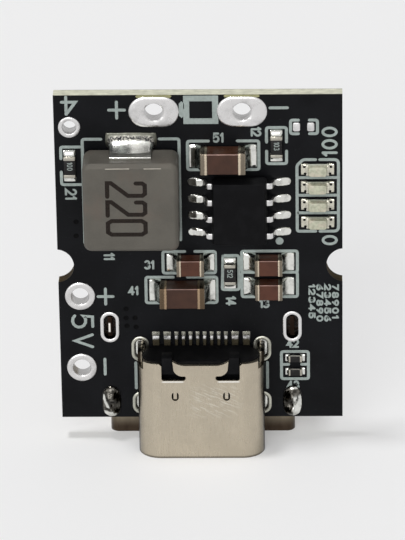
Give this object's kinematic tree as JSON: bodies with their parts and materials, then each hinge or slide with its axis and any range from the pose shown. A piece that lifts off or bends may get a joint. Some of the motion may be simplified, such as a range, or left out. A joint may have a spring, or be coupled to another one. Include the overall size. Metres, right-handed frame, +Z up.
{
  "type": "power bank module",
  "caption": "Bare power bank charger board that stands on its charging inlet and its output socket, with inductor, converter chip, status lights and holes for wires.",
  "frame": {"origin": "on the surface that both connector mouths stand on, under the middle of the module's box", "axes": "+Z up the board from the connector mouths to the battery wire holes, +X to the right seen from the component side, which faces -Y"},
  "size_m": [0.02, 0.01, 0.0266],
  "materials": {
    "solder_mask": "semi-gloss",
    "tinned_copper": "bright",
    "solder": "bright",
    "inlet_steel": "satin nickel",
    "outlet_steel": "satin nickel",
    "tongue_steel": "satin",
    "gold_contact": "bright",
    "tin_plate": "satin",
    "black_moulding": "matt",
    "pressed_iron": "matt",
    "chip_moulding": "matt",
    "capacitor_ceramic": "satin",
    "resistor_ceramic": "satin",
    "light_base": "satin",
    "light_lens": "gloss"
  },
  "bodies": {
    "root": {"battery_minus_terminal": "tinned_copper", "battery_plus_terminal": "tinned_copper", "board": "solder_mask", "capacitor_1_body": "capacitor_ceramic", "capacitor_1_ends": "tin_plate", "capacitor_2_body": "capacitor_ceramic", "capacitor_2_ends": "tin_plate", "capacitor_3_body": "capacitor_ceramic", "capacitor_3_ends": "tin_plate", "capacitor_4_body": "capacitor_ceramic", "capacitor_4_ends": "tin_plate", "capacitor_5_body": "capacitor_ceramic", "capacitor_5_ends": "tin_plate", "capacitor_solder": "solder", "converter_chip_body": "chip_moulding", "converter_chip_leads": "tin_plate", "converter_chip_solder": "solder", "inductor_body": "pressed_iron", "inductor_solder": "solder", "inductor_terminals": "tin_plate", "inlet_housing": "black_moulding", "inlet_leg_slots": "tinned_copper", "inlet_leg_solder": "solder", "inlet_mid_plate": "tongue_steel", "inlet_power_contacts": "gold_contact", "inlet_shell": "inlet_steel", "inlet_signal_contacts": "gold_contact", "inlet_tail_solder": "solder", "key_terminal": "tinned_copper", "outlet_contacts": "gold_contact", "outlet_housing": "black_moulding", "outlet_leg_slots": "tinned_copper", "outlet_leg_solder": "solder", "outlet_shell": "outlet_steel", "outlet_tail_solder": "solder", "output_minus_terminal": "tinned_copper", "output_plus_terminal": "tinned_copper", "resistor_1_body": "resistor_ceramic", "resistor_2_body": "resistor_ceramic", "resistor_3_body": "resistor_ceramic", "resistor_4_body": "resistor_ceramic", "resistor_5_body": "resistor_ceramic", "resistor_ends": "tin_plate", "resistor_solder": "solder", "spare_pads": "tinned_copper", "status_light_1_base": "light_base", "status_light_1_lens": "light_lens", "status_light_2_base": "light_base", "status_light_2_lens": "light_lens", "status_light_3_base": "light_base", "status_light_3_lens": "light_lens", "status_light_4_base": "light_base", "status_light_4_lens": "light_lens", "status_light_ends": "tin_plate", "status_light_solder": "solder"}
  },
  "joints": []
}
